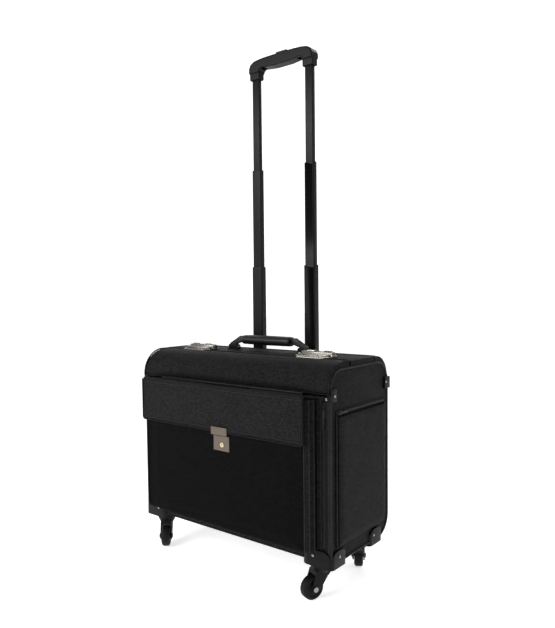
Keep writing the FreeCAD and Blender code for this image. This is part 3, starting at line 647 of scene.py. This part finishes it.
for side, hand in both_sides:
    bag = swollen("side_pocket_" + side, "side_pocket_bag_" + side, 0.0026, 3.0, 0.0016, side_free,
                  lambda x, y, z: (x, 0, 0), 1)
    dressed(bag, nylon, "case", "nylon", "side_pocket_" + side, angle=50)
    for number, depth in enumerate((-84.5, 84.5)):
        bpy.ops.object.select_all(action="DESELECT")
        bpy.ops.mesh.primitive_cylinder_add(vertices=12, radius=0.0018, depth=0.232,
                                            location=spot(hand * 237, depth, 212))
        seam = bpy.context.object
        seam.name = f"side_pocket_piping_{side}_{number}"
        worked(seam, "BEVEL", width=0.001, segments=2, limit_method="ANGLE",
               angle_limit=radians(50))
        dressed(seam, piping_cloth, "case", "nylon")
    band = block("side_zip_tape_" + side, spot(hand * 235.9, 0, side_zip_height),
                 (0.0014, 0.170, 0.011), 0.0005, 2)
    dressed(band, tape_cloth, "case", "nylon")
    row_of_teeth("side_zip_teeth_" + side, spot(hand * 237, -82, side_zip_height),
                 (0, tooth_pitch, 0), 92, (0.0016, 0.0011, 0.0042))
    softened("side_zip_slider_" + side, "side_zip_slider_" + side + "_cast", black_steel, 0.0004)

# ---- Storm flaps of the side pockets --------------------------------------------------------
# A short flap of the same nylon hangs from the seam under each side zip. Its front edge slants,
# its lower front corner is rounded, and a narrow hem runs along both.
storm_root, storm_foot, storm_back, storm_plane = 325.5, 260.5, 84, 241.3


def storm_outline(hand):
    """The flap's corners, down its slanting front edge, round and back along its foot."""
    corners = [(-79.5, storm_root), (-56.5, 268)]
    for turn in (pi / 8, pi / 4, 3 * pi / 8):
        corners.append((-50 - 6.5 * cos(turn), 267 - 6 * sin(turn)))
    corners += [(-47, storm_foot), (storm_back, storm_foot), (storm_back, storm_root)]
    return [spot(hand * storm_plane, y, z) for y, z in corners]


for side, hand in both_sides:
    outline = storm_outline(hand)
    storm_flap = line_through("storm_flap_" + side, outline, closed=True)
    bpy.ops.object.convert(target="MESH")
    bpy.ops.object.mode_set(mode="EDIT")
    bpy.ops.mesh.select_all(action="SELECT")
    bpy.ops.mesh.edge_face_add()
    bpy.ops.object.mode_set(mode="OBJECT")
    worked(storm_flap, "SOLIDIFY", thickness=0.0016, offset=0)
    worked(storm_flap, "BEVEL", width=0.0006, segments=2, limit_method="ANGLE",
           angle_limit=radians(50))
    dressed(storm_flap, nylon, "case", "nylon")
    proud = Vector((hand * 0.0006, 0, 0))
    hem = line_through("storm_hem_" + side, [place + proud for place in outline[:-1]])
    hem.data.bevel_depth = 0.0011
    hem.data.bevel_resolution = 2
    hem.data.use_fill_caps = True
    bpy.ops.object.convert(target="MESH")
    dressed(hem, nylon, "case", "nylon")

# ---- Casters -------------------------------------------------------------------------------
# Moulded black cups are riveted over the case's lower corners. Each holds a swivelling fork
# under a round cowl, with a rubber-tyred wheel on an axle with nickel caps.
rubber = moulded("wheel_rubber", (0.002, 0.002, 0.0022), (0.007, 0.007, 0.0078),
                 0.42, 0.35, gloss=0.15)
joint_named = {joint["name"]: joint for joint in frame["joints"]}
cowl_height, cap_from_middle = 0.0529, 0.0136
softened("caster_housings", "caster_cups", plastic, 0.0016, 3)
for corner in ("front_left", "front_right", "rear_left", "rear_right"):
    softened("caster_fork_" + corner, "fork_" + corner + "_moulded", plastic, 0.0014, 3)
    softened("caster_wheel_" + corner, "tyre_" + corner, rubber, 0.0008, 2)
    rolling = joint_named["roll_" + corner]
    stem = Vector(joint_named["swivel_" + corner]["pos_m"])
    axle, way = Vector(rolling["pos_m"]), Vector(rolling["axis"]).normalized()
    bpy.ops.object.select_all(action="DESELECT")
    bpy.ops.mesh.primitive_cone_add(vertices=48, radius1=0.0135, radius2=0.0215, depth=0.0165,
                                    location=(stem.x, stem.y, cowl_height))
    cowl = bpy.context.object
    cowl.name = "fork_cowl_" + corner
    worked(cowl, "BEVEL", width=0.0045, segments=4, limit_method="ANGLE",
           angle_limit=radians(40))
    dressed(cowl, plastic, "fork_" + corner, "black_plastic", angle=60)
    for end, number in ((1, "a"), (-1, "b")):
        bpy.ops.object.select_all(action="DESELECT")
        bpy.ops.mesh.primitive_cylinder_add(
            vertices=32, radius=0.0048, depth=0.0016, location=axle + way * end * cap_from_middle,
            rotation=(way * end).to_track_quat("Z", "Y").to_euler())
        cap = bpy.context.object
        cap.name = f"axle_cap_{corner}_{number}"
        worked(cap, "BEVEL", width=0.0007, segments=3, limit_method="ANGLE",
               angle_limit=radians(40))
        dressed(cap, nickel, "fork_" + corner, "nickel")

# ---- Tow handle ----------------------------------------------------------------------------
# Three stages of black anodised tube slide in two channels inside the back. A moulded grip with
# a release button joins the two upper tubes.
anodised = metal("black_anodised", (0.006, 0.006, 0.0066), 0.3, 0.2, length=0.0003, wide=0.0003,
                 bare=0.35, gloss=0.2)
for stage in ("lower", "middle", "upper"):
    softened(stage + "_tubes", stage + "_tube_pair", anodised, 0.0008, 2)
softened("handle_housing", "handle_channels", steel, 0.0004, 1)
softened("handle_bezels", "handle_collars", plastic, 0.0010, 3)


def moulding(name, voxel, smooth, *nodes):
    """One soft-edged moulding from one or more CAD parts that are snapped or welded together."""
    shells = [copy_of(node, name) for node in nodes]
    for shell in shells:
        shell.select_set(True)
    bpy.ops.object.join()
    piece = bpy.context.object
    piece.name = name
    worked(piece, "REMESH", mode="VOXEL", voxel_size=voxel)
    worked(piece, "SMOOTH", factor=0.5, iterations=smooth)
    return dressed(piece, plastic, body_of_node[nodes[0]], slot_of_node[nodes[0]], *nodes, angle=60)


moulding("grip_moulding", 0.0011, 12, "grip_upper_shell", "grip_lower_shell")
button_gloss = moulded("button_gloss", (0.012, 0.012, 0.013), (0.026, 0.026, 0.028), 0.22, 0.2)
softened("grip_button", "release_button", button_gloss, 0.0009, 3)
softened("release_bar", "release_rods", steel, 0.0004, 1)
leaf = softened("button_spring", "button_leaf_spring", steel, 0.00008, 1)
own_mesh(leaf)

# ---- Carry handle --------------------------------------------------------------------------
# A padded roll of leatherette, sewn along its underside, on two links wrapped in the same
# leatherette, which swing in black brackets riveted to the rear lid.
def grained(name, dark, light):
    """Embossed leatherette: small closed cells with fine creases between them."""
    material, shader, place = new_finish(name, gloss=0.25, coat=0.05)
    cells = place.node("TexVoronoi", {"Vector": place, "Scale": 620.0}, feature="DISTANCE_TO_EDGE")
    wrinkle = place.clouds(0.006, 5, 0.65)
    wear = place.clouds(0.02, 3)
    (wrinkle * 0.6 + wear * 0.4).tint(dark, light).feed(shader, "Base Color")
    (wear * 0.25 + wrinkle * 0.1 + 0.26).feed(shader, "Roughness")
    (cells.maths("MINIMUM", 0.25) + wrinkle * 0.3).relief(0.0005, 0.6).feed(shader, "Normal")
    return material


leather = grained("black_leatherette", (0.0015, 0.0014, 0.0015), (0.007, 0.0066, 0.007))


roll_end, roll_depth, roll_height = 61, 26, 439.5


def roll_free(x, y, z):
    """1 along the roll, falling to 0 where it is tied at its ends."""
    return min((roll_end - abs(x)) / 8, 1)


roll = swollen("carry_handle_grip", "carry_handle_roll", 0.0018, 6.0, 0.0022, roll_free,
               lambda x, y, z: (0, y - roll_depth, z - roll_height), 6)
dressed(roll, leather, "carry_handle", "handle_leather", "carry_handle_grip", angle=60)
links = softened("carry_handle_ends", "carry_handle_links", leather, 0.0009, 3)
worked(links, "DISPLACE", strength=0.0011, mid_level=0)
softened("carry_handle_brackets", "carry_handle_feet", plastic, 0.0005, 2)

# ---- Combination latches -------------------------------------------------------------------
# Stamped nickel latches with three numbered dials each, a hinged hasp that hooks the front
# lid's strike, and a sliding knob that lets it go.
softened("latch_bases", "latch_plates", nickel, 0.0005, 2)
softened("latch_strikes", "latch_strike_plates", nickel, 0.0004, 2)
dial_finish = moulded("dial_black", (0.010, 0.010, 0.010), (0.022, 0.022, 0.022), 0.3, 0.2)
figure_white = moulded("figure_white", (0.45, 0.45, 0.43), (0.7, 0.7, 0.68), 0.5, 0.1, gloss=0.3)
figures_round = 10
for side in ("left", "right"):
    softened("latch_hasp_" + side, "hasp_" + side + "_stamped", nickel, 0.0005, 2)
    softened("latch_slide_" + side, "slide_knob_" + side, nickel, 0.0005, 2)
    for order in ("outer", "middle", "inner"):
        softened(f"dial_{side}_{order}", f"number_dial_{side}_{order}", dial_finish, 0.0003, 2)
        low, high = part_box(f"dial_{side}_{order}")
        hub, reach = (low + high) / 2, (high.z - low.z) / 2
        figures = []
        for figure in range(figures_round):
            bpy.ops.object.select_all(action="DESELECT")
            bpy.ops.object.text_add(location=(0, 0, 0))
            mark = bpy.context.object
            mark.data.body = str(figure)
            mark.data.size = 0.0026
            mark.data.extrude = 0.00008
            mark.data.align_x = mark.data.align_y = "CENTER"
            bpy.ops.object.convert(target="MESH")
            turn = Matrix.Rotation(radians(360 / figures_round * figure), 4, "X")
            mark.data.transform(Matrix.Translation(hub) @ turn @ Matrix.Translation((0, 0, reach)))
            figures.append(mark)
        for mark in figures:
            mark.select_set(True)
        bpy.ops.object.join()
        ring = bpy.context.object
        ring.name = f"dial_figures_{side}_{order}"
        dressed(ring, figure_white, f"dial_{side}_{order}", "dial_black")
